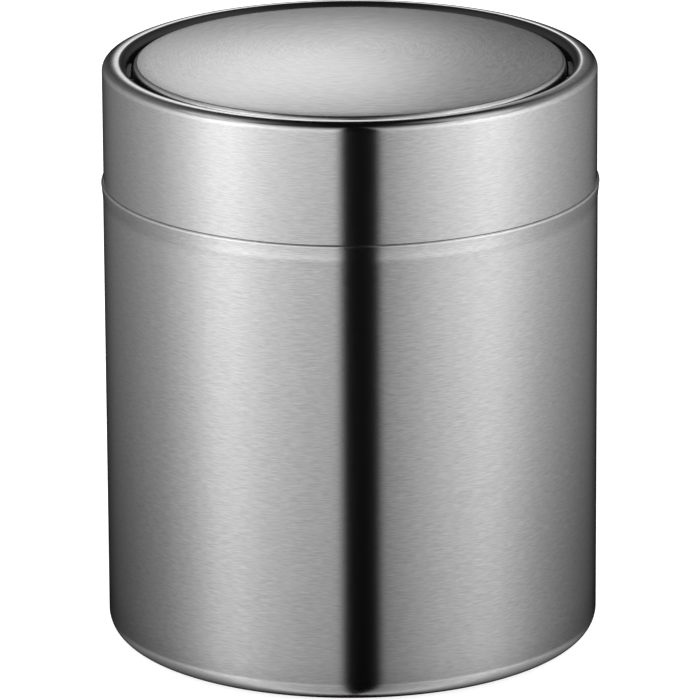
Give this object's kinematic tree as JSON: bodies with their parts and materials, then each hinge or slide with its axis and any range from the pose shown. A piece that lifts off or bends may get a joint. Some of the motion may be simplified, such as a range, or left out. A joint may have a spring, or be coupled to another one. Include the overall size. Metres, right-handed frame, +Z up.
{
  "type": "swing-lid countertop bin",
  "caption": "Round brushed-steel countertop bin with a lift-off lid ring and a domed, counterweighted swing flap on a horizontal pivot.",
  "frame": {"origin": "centre of the non-slip pad's face, on the surface the bin stands on", "axes": "+Z up, -Y to the front, +X to the right; the flap's pivot axis lies along X"},
  "size_m": [0.1207, 0.1206, 0.1471],
  "materials": {
    "wall_steel": "horizontally brushed stainless sheet",
    "disc_steel": "stainless disc with a spun, concentric brushing",
    "black_moulding": "black moulded plastic with a fine spark-eroded grain",
    "acetal": "natural white acetal",
    "turned_steel": "bright turned and plated steel",
    "weight_iron": "zinc-coated iron bar",
    "pad_foam": "black closed-cell foam rubber"
  },
  "bodies": {
    "bin_body": {"body_shell": "wall_steel", "base_pad": "pad_foam"},
    "lid_ring": {"lid_sleeve": "wall_steel", "lid_collar": "black_moulding", "hinge_bush_left": "acetal", "hinge_bush_right": "acetal"},
    "swing_flap": {"flap_cover": "disc_steel", "flap_pan": "black_moulding", "pivot_pin_left": "turned_steel", "pivot_pin_right": "turned_steel", "pin_keeper_left": "black_moulding", "pin_keeper_right": "black_moulding", "counterweight": "weight_iron", "weight_plate": "black_moulding", "plate_screws": "turned_steel"}
  },
  "joints": [
    {"name": "lid_lift", "type": "slide", "parent": "bin_body", "child": "lid_ring", "axis": [0, 0, 1], "range_m": [0, 0.08]},
    {"name": "flap_swing", "type": "hinge", "parent": "lid_ring", "child": "swing_flap", "pos_m": [0, 0, 0.13765], "axis": [1, 0, 0], "range_deg": [-80, 80]}
  ]
}
